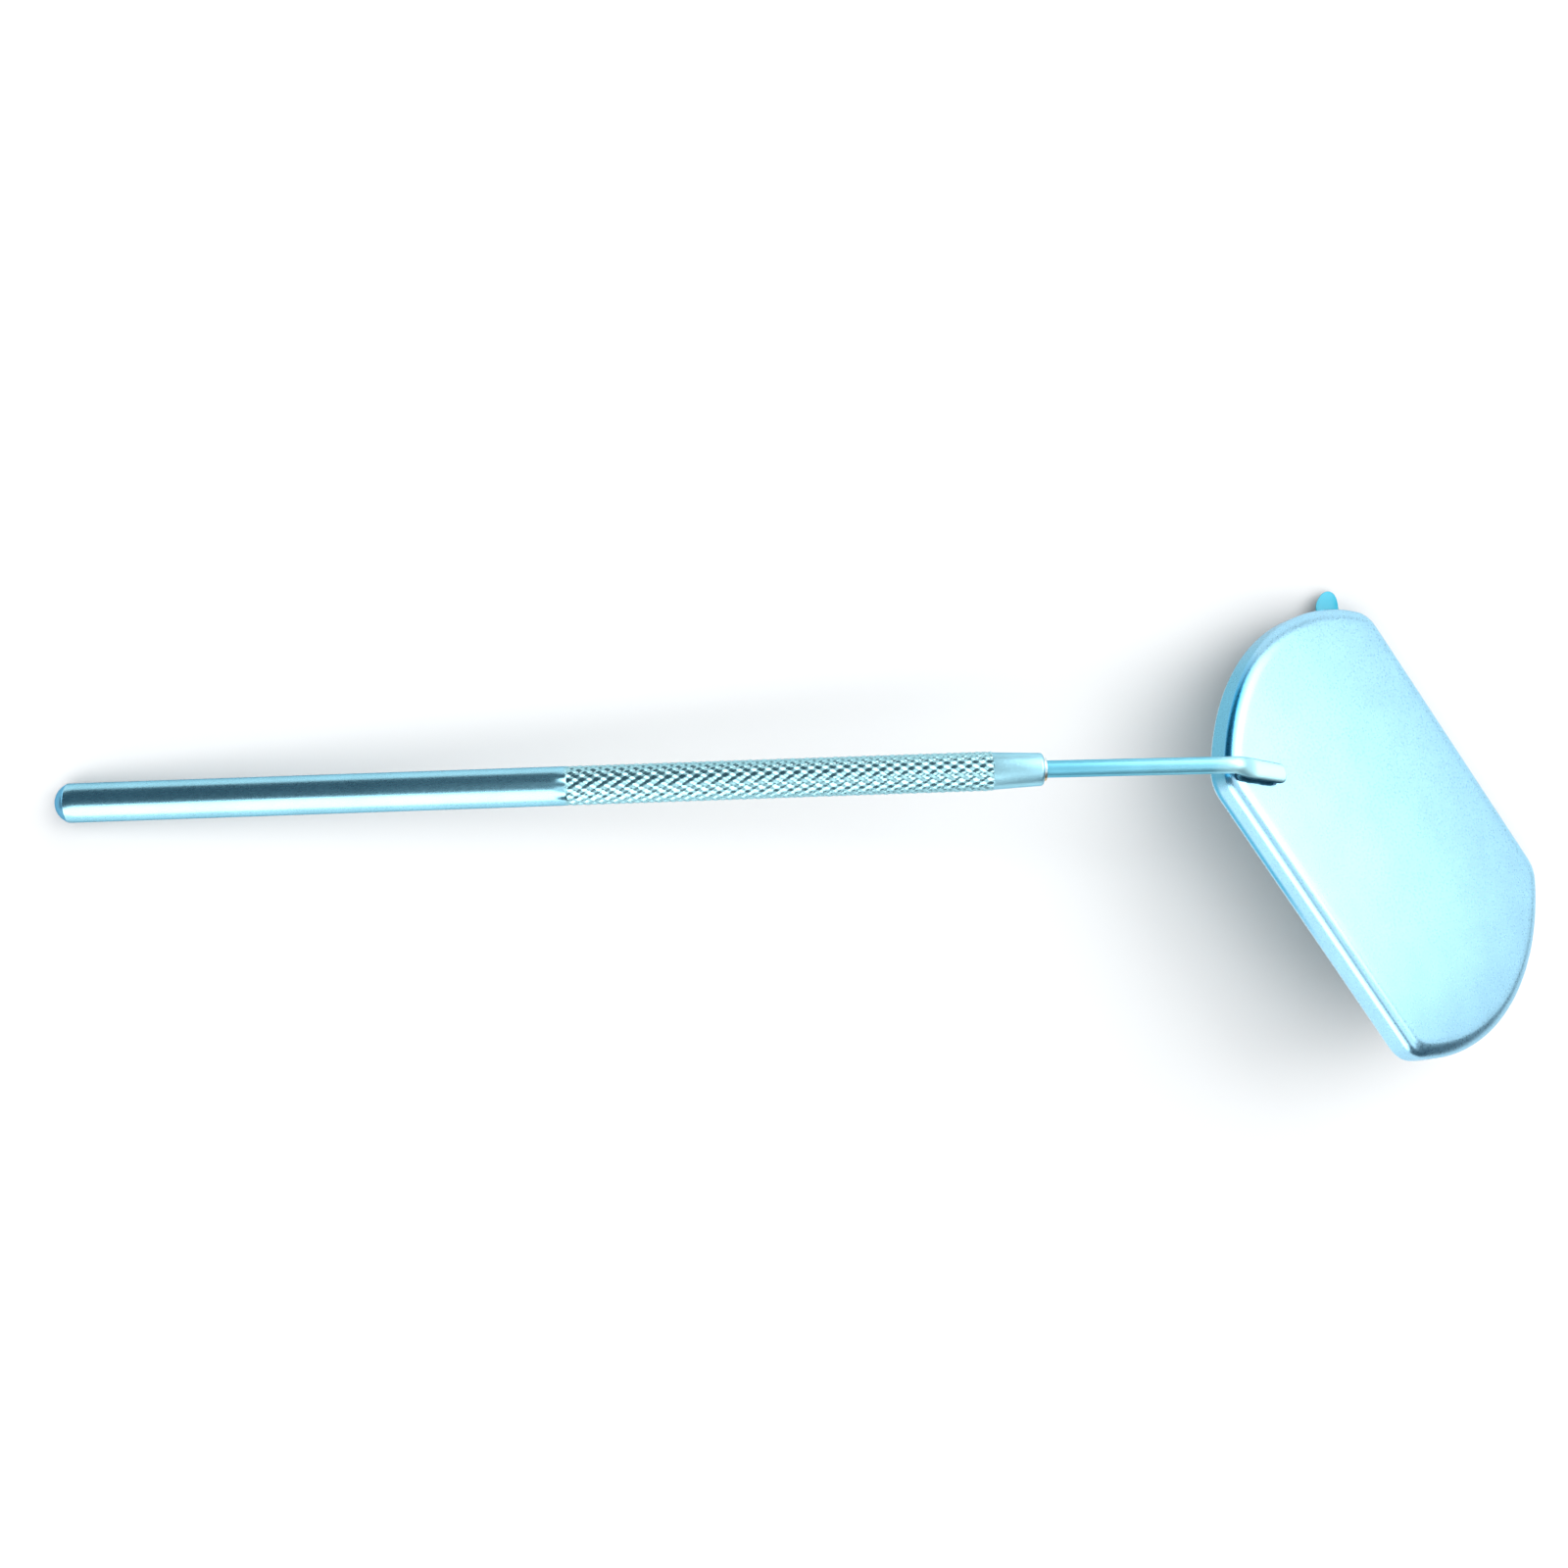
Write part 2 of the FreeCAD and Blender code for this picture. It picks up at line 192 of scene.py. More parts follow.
# Colours are linear red, green and blue. An edge tint is a metal's colour at a grazing angle.
EDGE_TINT = (0.42, 0.60, 0.70, 1)
TUBE_TINT = (0.36, 0.72, 0.86)
TUBE_EDGE_TINT = (0.34, 0.46, 0.54, 1)
GRIP_TINT = (0.42, 0.74, 0.80)
# painted highlight with some wear on the knurl's crests, and painted shade in its pits
CREST_WEAR_HIGHLIGHT_TINT = (0.74, 0.89, 0.92)
PIT_SHADE_TINT = (0.06, 0.24, 0.28)
# the cap's coat, painted deeper as shade
CAP_SHADE_TINT = (0.16, 0.44, 0.64)
CONE_TINT = (0.38, 0.70, 0.81)
STEM_TINT = (0.28, 0.70, 0.86)
STEM_EDGE_TINT = (0.32, 0.50, 0.58, 1)
NECK_TINT = (0.18, 0.57, 0.74)
# painted highlight on the blade's flattened end
BLADE_HIGHLIGHT_TINT = (0.56, 0.90, 0.95)
# painted shade on the blade's lower sides
LOW_SHADE_TINT = (0.04, 0.13, 0.19)
# painted shade on the braze
BRAZE_SHADE_TINT = (0.05, 0.17, 0.25)
SHELL_TINT = (0.385, 0.70, 0.885)
SHELL_EDGE_TINT = (0.78, 0.88, 0.92, 1)
# painted shade on the shell's wall and bend by the stem
SHELL_WALL_SHADE_TINT = (0.16, 0.47, 0.63)
SHELL_BEND_SHADE_TINT = (0.05, 0.40, 0.70)
SHELL_RIM_TINT = (0.80, 0.90, 0.95)
# painted reflection: the blue line along one side
SHELL_LINE_REFLECTION_TINT = (0.10, 0.42, 0.62)
BRASS_DULL = (0.55, 0.38, 0.20)
BRASS_BRIGHT = (0.86, 0.70, 0.46)
# painted highlight on one side of the ring
BRASS_HIGHLIGHT_TINT = (0.66, 0.78, 0.80)
GLASS_CLEAR = (0.95, 0.99, 0.97)
GLASS_DUST = (0.86, 0.90, 0.89)
SILVER_DIM = (0.91, 0.92, 0.93)
SILVER_BRIGHT = (0.95, 0.955, 0.96)
PAINT_DARK = (0.20, 0.22, 0.25)
PAINT_LIGHT = (0.30, 0.33, 0.36)
FOAM_DARK = (0.66, 0.67, 0.65)
FOAM_LIGHT = (0.86, 0.86, 0.84)
FILM_DARK = (0.012, 0.31, 0.43)
FILM_LIGHT = (0.025, 0.36, 0.48)
FILM_BUBBLE = (0.16, 0.48, 0.58)
FLOOR_DARK = (0.46, 0.46, 0.46)
FLOOR_LIGHT = (0.48, 0.48, 0.48)
# painted shade far out on the floor
FLOOR_FAR_SHADE = (0.22, 0.225, 0.23)
WORLD_COLOUR = (0.045, 0.085, 0.115, 1)

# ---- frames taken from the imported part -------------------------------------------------

joints = {joint["name"]: joint for joint in frame["joints"]}


def placed(x_axis, y_axis, z_axis, origin):
    """The matrix that carries a local frame in millimetres into the row frame in metres."""
    rotation = Matrix((x_axis, y_axis, z_axis)).transposed().to_4x4()
    return Matrix.Translation(origin) @ rotation @ Matrix.Scale(MM, 4)


def head_frame():
    """x along the head's long axis, z out of its back, origin on the mirror side's rim plane."""
    back = -Vector(joints["film_lift"]["axis"]).normalized()
    long_axis = back.cross(Vector((0, 0, 1))).normalized()
    low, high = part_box("silver_layer")
    origin = (low + high) / 2 - back * SILVER_MIDDLE * MM
    return placed(long_axis, back.cross(long_axis), back, origin)


def corner_centre():
    """Centre of the rounding at the head's +x +y corner."""
    across = HALF_WIDTH - CORNER_RADIUS
    return Vector((math.sqrt((HEAD_RADIUS - CORNER_RADIUS) ** 2 - across ** 2), across, 0))


def blade_frame(head):
    """x along the stem's flat end, z out of the head's back, origin under the bend."""
    heading = Vector((math.cos(STEM_HEADING), math.sin(STEM_HEADING), 0))
    bend = -corner_centre() - heading * BEND_REACH
    return head @ Matrix.Translation(bend) @ Matrix.Rotation(STEM_HEADING, 4, "Z")


def handle_frame():
    """x along the handle from its free tip, y level."""
    turn = joints["head_unscrew"]
    axis = Vector(turn["axis"]).normalized()
    across = Vector((0, 0, 1)).cross(axis).normalized()
    origin = Vector(turn["pos_m"]) - axis * RING_END * MM
    return placed(axis, across, axis.cross(across), origin)


def axis_of(frame_matrix, index):
    """A frame's axis in the row frame, and the frame's own place along it, in metres."""
    axis = frame_matrix.to_3x3().col[index].normalized()
    return axis, axis.dot(frame_matrix.translation)


HEAD = head_frame()
BLADE = blade_frame(HEAD)
HANDLE = handle_frame()

# ---- mesh helpers ------------------------------------------------------------------------


def add_piece(name, mesh, body, replaced, material):
    """Puts a finished mesh on a body in place of the CAD node that it stands for."""
    mesh.shade_smooth()
    mesh.set_sharp_from_angle(angle=SHARP_ANGLE)
    mesh.materials.append(material)
    piece = bpy.data.objects.new(name, mesh)
    bpy.context.scene.collection.objects.link(piece)
    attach(piece, body)
    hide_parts(replaced)


def skin(name, rings, matrix, looped=False):
    """A closed mesh through rings of points. It ends in single points, or is looped back to its start."""
    mesh = bmesh.new()
    made = [[mesh.verts.new(matrix @ point) for point in ring] for ring in rings]
    if looped:
        made.append(made[0])
    for one, two in zip(made, made[1:]):
        count = max(len(one), len(two))
        for i in range(count):
            j = (i + 1) % count
            corners = [one[i % len(one)], one[j % len(one)], two[j % len(two)], two[i % len(two)]]
            mesh.faces.new(list(dict.fromkeys(corners)))
    bmesh.ops.recalc_face_normals(mesh, faces=mesh.faces)
    data = bpy.data.meshes.new(name)
    mesh.to_mesh(data)
    mesh.free()
    return data


def quarter(steps):
    """Angles from 0 to a quarter turn in even steps."""
    return [math.pi / 2 * step / steps for step in range(steps + 1)]


def eased(profile, radius):
    """The open outline with each inner corner rounded by about this radius."""
    steps = 4
    points = [Vector(p) for p in profile]
    result = [points[0]]
    for before, corner, after in zip(points, points[1:], points[2:]):
        reach_in = min(radius, (corner - before).length * 0.45)
        reach_out = min(radius, (after - corner).length * 0.45)
        start = corner + (before - corner).normalized() * reach_in
        end = corner + (after - corner).normalized() * reach_out
        for step in range(steps + 1):
            t = step / steps
            result.append(start * (1 - t) ** 2 + corner * 2 * t * (1 - t) + end * t * t)
    return result + [points[-1]]


def turned_ring(x, radius, count):
    """Points round the x axis. The radius is a number or a function of the angle."""
    if not callable(radius) and radius == 0:
        return [Vector((x, 0, 0))]
    ring = []
    for i in range(count):
        angle = 2 * math.pi * i / count
        r = radius(angle) if callable(radius) else radius
        ring.append(Vector((x, r * math.cos(angle), r * math.sin(angle))))
    return ring


def triangle_wave(phase):
    """0 at whole numbers, 1 half-way between them."""
    return 1 - abs(2 * (phase - math.floor(phase)) - 1)


def smooth(t):
    """Rises gently from 0 at 0 to 1 at 1, and stays level outside that."""
    t = min(max(t, 0.0), 1.0)
    return t * t * (3 - 2 * t)


# ---- handle pieces -----------------------------------------------------------------------


def knurl_radius(x):
    """The grip's radius round one ring: two crossing families of grooves, deepest where they cross."""
    share = smooth((x - KNURL_START) / KNURL_FADE)
    along = (x - KNURL_START) / KNURL_PITCH

    def radius(angle):
        turn = KNURL_STARTS * angle / (2 * math.pi)
        waves = (triangle_wave(along + turn), triangle_wave(along - turn))
        shallow, deep = sorted(wave ** KNURL_SHARPNESS for wave in waves)
        depth = KNURL_DEPTH * (KNURL_PIT_SHARE * shallow + (1 - KNURL_PIT_SHARE) * deep)
        return TUBE_RADIUS + share * (KNURL_CREST - TUBE_RADIUS - depth)

    return radius


def make_tube(material):
    """The tube: an eased end at the cap, a smooth stretch and the knurled grip, with its plain bore."""
    columns = KNURL_STARTS * KNURL_STEPS
    rings = [
        turned_ring(DOME_HEIGHT, TUBE_BORE, columns),
        turned_ring(DOME_HEIGHT, TUBE_RADIUS - TUBE_EDGE, columns),
        turned_ring(DOME_HEIGHT + 0.3 * TUBE_EDGE, TUBE_RADIUS - 0.3 * TUBE_EDGE, columns),
        turned_ring(DOME_HEIGHT + TUBE_EDGE, TUBE_RADIUS, columns),
    ]
    spacing = 3
    rings += [turned_ring(x, TUBE_RADIUS, columns) for x in range(spacing, int(KNURL_START), spacing)]
    rows = round((KNURL_END - KNURL_START) / KNURL_PITCH * KNURL_STEPS)
    for row in range(rows + 1):
        x = KNURL_START + (KNURL_END - KNURL_START) * row / rows
        rings.append(turned_ring(x, knurl_radius(x), columns))
    rings.append(turned_ring(KNURL_END, TUBE_BORE, columns))
    mesh = skin("knurled_tube", rings, HANDLE, looped=True)
    add_piece("knurled_tube", mesh, "handle", "handle_tube", material)


def make_cap(material):
    """The domed cap: a low spherical dome, a fine step at the seam and the pressed shank."""
    sphere = (TUBE_RADIUS ** 2 + DOME_HEIGHT ** 2) / (2 * DOME_HEIGHT)
    slope = math.asin(TUBE_RADIUS / sphere)
    profile = []
    steps = 28
    for step in range(steps - 1):
        angle = slope * step / steps
        profile.append((sphere * (1 - math.cos(angle)), sphere * math.sin(angle)))
    # The rim rolls in to the seam. These are places before the dome's foot and inside the tube's outside.
    for before, inside in ((0.16, 0.06), (0.08, 0.03), (0.02, 0.06), (0, 0.12)):
        profile.append((DOME_HEIGHT - before, TUBE_RADIUS - inside))
    profile += [(DOME_HEIGHT, PLUG_RADIUS), (CAP_SHANK_END, PLUG_RADIUS), (CAP_SHANK_END, 0)]
    rings = [turned_ring(x, r, CAP_COLUMNS) for x, r in profile]
    mesh = skin("domed_cap", rings, HANDLE)
    add_piece("domed_cap", mesh, "handle", "end_cap", material)


def socket_radius(x):
    """The tapped wall: a fine helical groove cut outwards from the socket's bore."""

    def radius(angle):
        groove = triangle_wave(x / THREAD_PITCH - angle / (2 * math.pi))
        return SOCKET_RADIUS + SOCKET_THREAD_SHARE * THREAD_DEPTH * groove

    return radius


def make_nose(material):
    """The nose: its shank in the tube, the cone with a rounded lip, the ring's seat and the tapped socket."""
    taper = (NOSE_BASE - NOSE_TIP) / (HANDLE_LENGTH - KNURL_END)
    outside = eased([
        (NOSE_SHANK_START, 0),
        (NOSE_SHANK_START, PLUG_RADIUS),
        (KNURL_END, PLUG_RADIUS),
        (KNURL_END, NOSE_BASE - NOSE_STEP),
        (HANDLE_LENGTH - NOSE_LIP, NOSE_TIP + NOSE_LIP * taper),
    ], NOSE_EDGE)
    lip = []
    lip_radius = outside[-1].y - NOSE_LIP
    for angle in quarter(10)[1:]:
        x = HANDLE_LENGTH - NOSE_LIP * (1 - math.sin(angle))
        lip.append((x, lip_radius + NOSE_LIP * math.cos(angle)))
    mouth = [
        (HANDLE_LENGTH, RING_SEAT_RADIUS + MOUTH_CHAMFER),
        (HANDLE_LENGTH - MOUTH_CHAMFER, RING_SEAT_RADIUS),
        (RING_SEAT, RING_SEAT_RADIUS),
        (RING_SEAT, SOCKET_RADIUS + SOCKET_EDGE),
    ]
    rings = [turned_ring(x, r, COLUMNS) for x, r in outside + lip + mouth]
    rows_per_turn = 8
    rows = round((RING_SEAT - SOCKET_BOTTOM) / THREAD_PITCH * rows_per_turn)
    for row in range(rows + 1):
        x = RING_SEAT - (RING_SEAT - SOCKET_BOTTOM) * row / rows
        rings.append(turned_ring(x, socket_radius(x), COLUMNS))
    rings.append(turned_ring(SOCKET_BOTTOM - DRILL_POINT, 0, COLUMNS))
    mesh = skin("tapped_nose", rings, HANDLE)
    add_piece("tapped_nose", mesh, "handle", "nose_bush", material)


def make_ring(material):
    """The loose ring, with every edge eased."""
    start = (RING_SEAT, RING_BORE + 0.1)
    corners = [
        start,
        (RING_SEAT, RING_RADIUS),
        (RING_FACE, RING_RADIUS),
        (RING_FACE, RING_BORE),
        (RING_SEAT, RING_BORE),
        start,
    ]
    profile = eased(corners, RING_EDGE)[:-1]
    rings = [turned_ring(x, r, COLUMNS) for x, r in profile]
    mesh = skin("brass_ring", rings, HANDLE, looped=True)
    add_piece("brass_ring", mesh, "neck_ring", "neck_ring", material)


# ---- stem and braze ----------------------------------------------------------------------


def section(centre, along, side, half_width, half_height, power=2.0):
    """A ring across the stem: round at power 2, squarer above it."""
    up = along.cross(side)
    ring = []
    for i in range(COLUMNS):
        angle = 2 * math.pi * i / COLUMNS
        across = math.copysign(abs(math.cos(angle)) ** (2 / power), math.cos(angle))
        rise = math.copysign(abs(math.sin(angle)) ** (2 / power), math.sin(angle))
        ring.append(centre + side * half_width * across + up * half_height * rise)
    return ring


def tail_rings():
    """The threaded tail and the plain neck inside the ring, on the handle's axis, in its frame."""
    rings = [[Vector((TAIL_START, 0, 0))]]
    rows_per_turn = 12
    rows = round((TAIL_END - TAIL_START) / THREAD_PITCH * rows_per_turn)
    along, side = Vector((1, 0, 0)), Vector((0, 1, 0))
    for row in range(rows + 1):
        x = TAIL_START + (TAIL_END - TAIL_START) * row / rows
        crest = min(TAIL_RADIUS, TAIL_RADIUS - TAIL_CHAMFER + (x - TAIL_START))
        ring = section(Vector((x, 0, 0)), along, side, 1, 1)
        threaded = []
        for i, point in enumerate(ring):
            groove = triangle_wave(x / THREAD_PITCH - i / len(ring))
            radius = min(crest, TAIL_RADIUS - THREAD_DEPTH * groove)
            threaded.append(Vector((x, point.y * radius, point.z * radius)))
        rings.append(threaded)
    for x in (TAIL_END, RING_END - NECK_JOIN):
        rings.append(section(Vector((x, 0, 0)), along, side, STEM_RADIUS, STEM_RADIUS))
    return rings


def flattening(x):
    """How far the wire is flattened at this place along the blade, from 0 to 1."""
    return smooth((x - FLATTEN_START) / FLATTEN_LENGTH)


def flat_section(centre, along, side, share, half_width):
    """The wire's section: its middle sinks as it flattens, so that its underside stays level."""
    half_width = STEM_RADIUS + share * (half_width - STEM_RADIUS)
    half_height = STEM_RADIUS + share * (BLADE_THICKNESS / 2 - STEM_RADIUS)
    sunk = centre + along.cross(side) * (half_height - STEM_RADIUS)
    return section(sunk, along, side, half_width, half_height, 2 + share * (FLAT_POWER - 2))


def neck_rings():
    """The neck and the bend, in the blade's frame."""
    level = HEAD_DEPTH + BLADE_LIFT + STEM_RADIUS
    side = Vector((0, 1, 0))
    neck = Vector((math.cos(STEM_ANGLE), 0, math.sin(STEM_ANGLE)))
    vertex = Vector((0, 0, level))
    rings = []
    straight_steps = 24
    far_end = NECK_LENGTH - NECK_JOIN
    for step in range(straight_steps + 1):
        centre = vertex - neck * (far_end - (far_end - BEND_TANGENT) * step / straight_steps)
        rings.append(section(centre, neck, side, STEM_RADIUS, STEM_RADIUS))
    pivot = Vector((BEND_TANGENT, 0, level - BEND_RADIUS))
    bend_steps = 16
    for step in range(1, bend_steps + 1):
        angle = STEM_ANGLE * (1 - step / bend_steps)
        along = Vector((math.cos(angle), 0, math.sin(angle)))
        centre = pivot + along.cross(side) * BEND_RADIUS
        rings.append(flat_section(centre, along, side, flattening(centre.x), BLADE_HALF_WIDTH))
    return rings


def blade_rings():
    """The flattened end, in the blade's frame, up to a point at the middle of its tip."""
    turn = Matrix.Rotation(BLADE_SET, 3, "Z")
    along, side = turn @ Vector((1, 0, 0)), turn @ Vector((0, 1, 0))
    level = Vector((0, 0, HEAD_DEPTH + BLADE_LIFT + STEM_RADIUS))
    corner_start = BLADE_LENGTH - BLADE_TIP_CORNER

    def half_width_at(x):
        taper = (x - BEND_TANGENT) / (BLADE_LENGTH - BEND_TANGENT)
        return BLADE_HALF_WIDTH + taper * (BLADE_TIP_HALF_WIDTH - BLADE_HALF_WIDTH)

    rings = []
    steps = 40
    for step in range(1, steps + 1):
        x = BEND_TANGENT + (corner_start - BEND_TANGENT) * step / steps
        centre = level + along * x
        rings.append(flat_section(centre, along, side, flattening(x), half_width_at(x)))
    middle = Vector((0, 0, HEAD_DEPTH + BLADE_LIFT + BLADE_THICKNESS / 2))
    for angle in quarter(12)[1:]:
        x = corner_start + BLADE_TIP_CORNER * math.sin(angle)
        half_width = half_width_at(x) - BLADE_TIP_CORNER * (1 - math.cos(angle))
        into_edge = max(0.0, 1 - (BLADE_LENGTH - x) / BLADE_EDGE)
        half_height = BLADE_THICKNESS / 2 - BLADE_EDGE * (1 - math.sqrt(1 - into_edge ** 2))
        rings.append(section(middle + along * x, along, side, half_width, half_height, FLAT_POWER))
    rings.append([along * BLADE_LENGTH + middle])
    return rings


def make_stem(material):
    """The whole wire as one mesh: the tail on the handle's axis, then the neck, the bend and the blade."""
    axis, across = axis_of(HANDLE, 0)[0], axis_of(BLADE, 1)[0]
    across = (across - axis * across.dot(axis)).normalized()
    tail_frame = placed(axis, across, axis.cross(across), HANDLE.translation)
    to_blade = BLADE.inverted() @ tail_frame
    tail = [[to_blade @ point for point in ring] for ring in tail_rings()]
    rings = tail + neck_rings() + blade_rings()
    mesh = skin("threaded_stem", rings, BLADE)
    add_piece("threaded_stem", mesh, "mirror_head", "mirror_stem", material)


def braze_ring(height):
    """Points round the filler's edge: a rectangle with rounded corners that flowed unevenly."""
    ring = []
    half = BLADE_HALF_WIDTH + BRAZE_SPILL
    tip, root = BRAZE_TIP_CORNER, BRAZE_ROOT_CORNER
    corners = [
        (BRAZE_END - tip, half - tip, tip, 0),
        (BEND_TANGENT + root, half - root, root, 90),
        (BEND_TANGENT + root, root - half, root, 180),
        (BRAZE_END - tip, tip - half, tip, 270),
    ]
    for x, y, radius, first in corners:
        for turn in quarter(10):
            angle = math.radians(first) + turn
            ring.append(Vector((x + radius * math.cos(angle), y + radius * math.sin(angle), height)))
    dense = []
    for one, two in zip(ring, ring[1:] + ring[:1]):
        pieces = max(1, round((two - one).length / BRAZE_SPACING))
        dense += [one.lerp(two, piece / pieces) for piece in range(pieces)]
    # The edge wanders in waves of about 2.7 and 1.2 mm.
    for point in dense:
        wave = math.sin(2.3 * point.x + 0.8) + BRAZE_RIPPLE * math.sin(5.1 * point.x + point.y)
        point.y *= 1 + BRAZE_WAVE * (wave / (1 + BRAZE_RIPPLE) - 1) / half
    return dense


def make_braze(material):
    """The filler, with a hollow fillet from the head's back up to the blade's sides."""
    turn = Matrix.Rotation(BLADE_SET, 4, "Z")
    middle = Vector(((BEND_TANGENT + BRAZE_END) / 2, 0, 0))
    base = HEAD_DEPTH + BRAZE_LIFT
    outer = braze_ring(base)
    rings = [[middle + Vector((0, 0, base))], outer]
    for angle in quarter(8)[1:]:
        shrink = BRAZE_SPILL * BRAZE_RUN * math.sin(angle)
        rise = Vector((0, 0, BRAZE_HEIGHT * (1 - math.cos(angle))))
        ring = []
        for point in outer:
            inward = Vector((middle.x - point.x, -point.y, 0))
            inward.x *= BRAZE_END_LEAN
            ring.append(point + inward.normalized() * shrink + rise)
        rings.append(ring)
    rings.append([middle + Vector((0, 0, base + BRAZE_HEIGHT))])
    mesh = skin("braze_fillet", rings, BLADE @ turn)
    add_piece("braze_fillet", mesh, "mirror_head", "braze_pad", material)


# ---- head pieces -------------------------------------------------------------------------


def head_outline(inset, height):
    """Points round the head moved inwards by inset: two chords, two long arcs, four corners."""
    centre = corner_centre()
    lean = math.atan2(centre.y, centre.x)
    radius, corner = HEAD_RADIUS - inset, CORNER_RADIUS - inset
    ring = []

    def add_arc(x, y, r, first, last, steps):
        for step in range(steps):
            angle = first + (last - first) * step / steps
            ring.append(Vector((x + r * math.cos(angle), y + r * math.sin(angle), height)))

    for half_turn in (0, math.pi):
        x, y = centre.x * math.cos(half_turn), centre.y * math.cos(half_turn)
        add_arc(0, 0, radius, half_turn - lean, half_turn + lean, ARC_STEPS)
        add_arc(x, y, corner, half_turn + lean, half_turn + math.pi / 2, CORNER_STEPS)
        chord = (HALF_WIDTH - inset) * math.cos(half_turn)
        for step in range(CHORD_STEPS):
            ring.append(Vector((x * (1 - 2 * step / CHORD_STEPS), chord, height)))
        add_arc(-x, y, corner, half_turn + math.pi / 2, half_turn + math.pi - lean, CORNER_STEPS)
    return ring


def face_rings(inset, height):
    """Rings that fill a flat face from its outline to its middle."""
    rings = [head_outline(inset + step * FACE_RING_GAP, height) for step in range(1, 4)]
    for share in (0.8, 0.6, 0.4, 0.2):
        rings.append([Vector((p.x * share, p.y * share, height)) for p in rings[2]])
    return rings + [[Vector((0, 0, height))]]


def make_shell(material):
    """The pressed pan: its back, the rounded edge, the rolled rim, and the inside one sheet further in."""
    rings = face_rings(BACK_ROUNDING, HEAD_DEPTH)[::-1]
    for angle in quarter(18):
        inset = BACK_ROUNDING * (1 - math.sin(angle))
        rings.append(head_outline(inset, HEAD_DEPTH - BACK_DROP * (1 - math.cos(angle))))
    for angle in quarter(10):
        inset = RIM_EDGE * (1 - math.cos(angle))
        rings.append(head_outline(inset, RIM_EDGE * (1 - math.sin(angle))))
    rings.append(head_outline(SHEET - SHEET_BREAK, 0))
    rings.append(head_outline(SHEET, SHEET_BREAK))
    inner_edge = BACK_EDGE - SHEET
    for angle in quarter(8):
        inset = SHEET + inner_edge * (1 - math.cos(angle))
        rings.append(head_outline(inset, HEAD_DEPTH - SHEET - inner_edge * (1 - math.sin(angle))))
    rings += face_rings(BACK_EDGE, HEAD_DEPTH - SHEET)
    mesh = skin("pressed_shell", rings, HEAD)
    add_piece("pressed_shell", mesh, "mirror_head", "back_shell", material)


def film_outline():
    """The film's outline: the head's, with a round-ended tab that points outwards."""
    heading = Vector((math.cos(TAB_HEADING), math.sin(TAB_HEADING), 0))
    side = Vector((-heading.y, heading.x, 0))
    reach = math.sqrt((HEAD_RADIUS - FILM_INSET) ** 2 - TAB_HALF_WIDTH ** 2)
    round_start = TAB_REACH - TAB_HALF_WIDTH
    straight_steps = 4
    round_steps = 24
    margin = 0.05
    tab = []
    for step in range(straight_steps):
        along = reach + (round_start - reach) * step / straight_steps
        tab.append(heading * along - side * TAB_HALF_WIDTH)
    other_side = [point - side * 2 * point.dot(side) for point in tab[::-1]]
    for step in range(round_steps + 1):
        angle = math.pi * (step / round_steps - 0.5)
        along = round_start + TAB_HALF_WIDTH * math.cos(angle)
        tab.append(heading * along + side * TAB_HALF_WIDTH * math.sin(angle))
    tab += other_side
    outline = []
    for point in head_outline(FILM_INSET, 0):
        if point.dot(heading) > 0 and abs(point.dot(side)) <= TAB_HALF_WIDTH + margin:
            outline += tab
            tab = []
        else:
            outline.append(point)
    return outline


def tab_rise(point):
    """How far the tab has curled up towards the head's back at this point."""
    past = max(0.0, point.length - TAB_RISE_START) / (TAB_REACH - TAB_RISE_START)
    return TAB_RISE * past ** TAB_CURL


def make_film(material):
    """The film's thin sheet with its pull tab."""
    outline = [point + Vector((0, 0, FILM_TOP + tab_rise(point))) for point in film_outline()]
    top = [[Vector((0, 0, FILM_TOP))]]
    for share in (0.25, 0.5, 0.75, 0.86):
        top.append([Vector((p.x * share, p.y * share, FILM_TOP)) for p in outline])
    edge = 0.3 * FILM_THICKNESS / HEAD_RADIUS
    top.append([Vector((p.x * (1 - edge), p.y * (1 - edge), p.z)) for p in outline])
    down = Vector((0, 0, -FILM_THICKNESS))
    middle = [[point + down / 2 for point in outline]]
    bottom = [[point + down for point in ring] for ring in top[::-1]]
    mesh = skin("peel_film", top + middle + bottom, HEAD)
    add_piece("peel_film", mesh, "protective_film", "protective_film", material)


# ---- materials ---------------------------------------------------------------------------


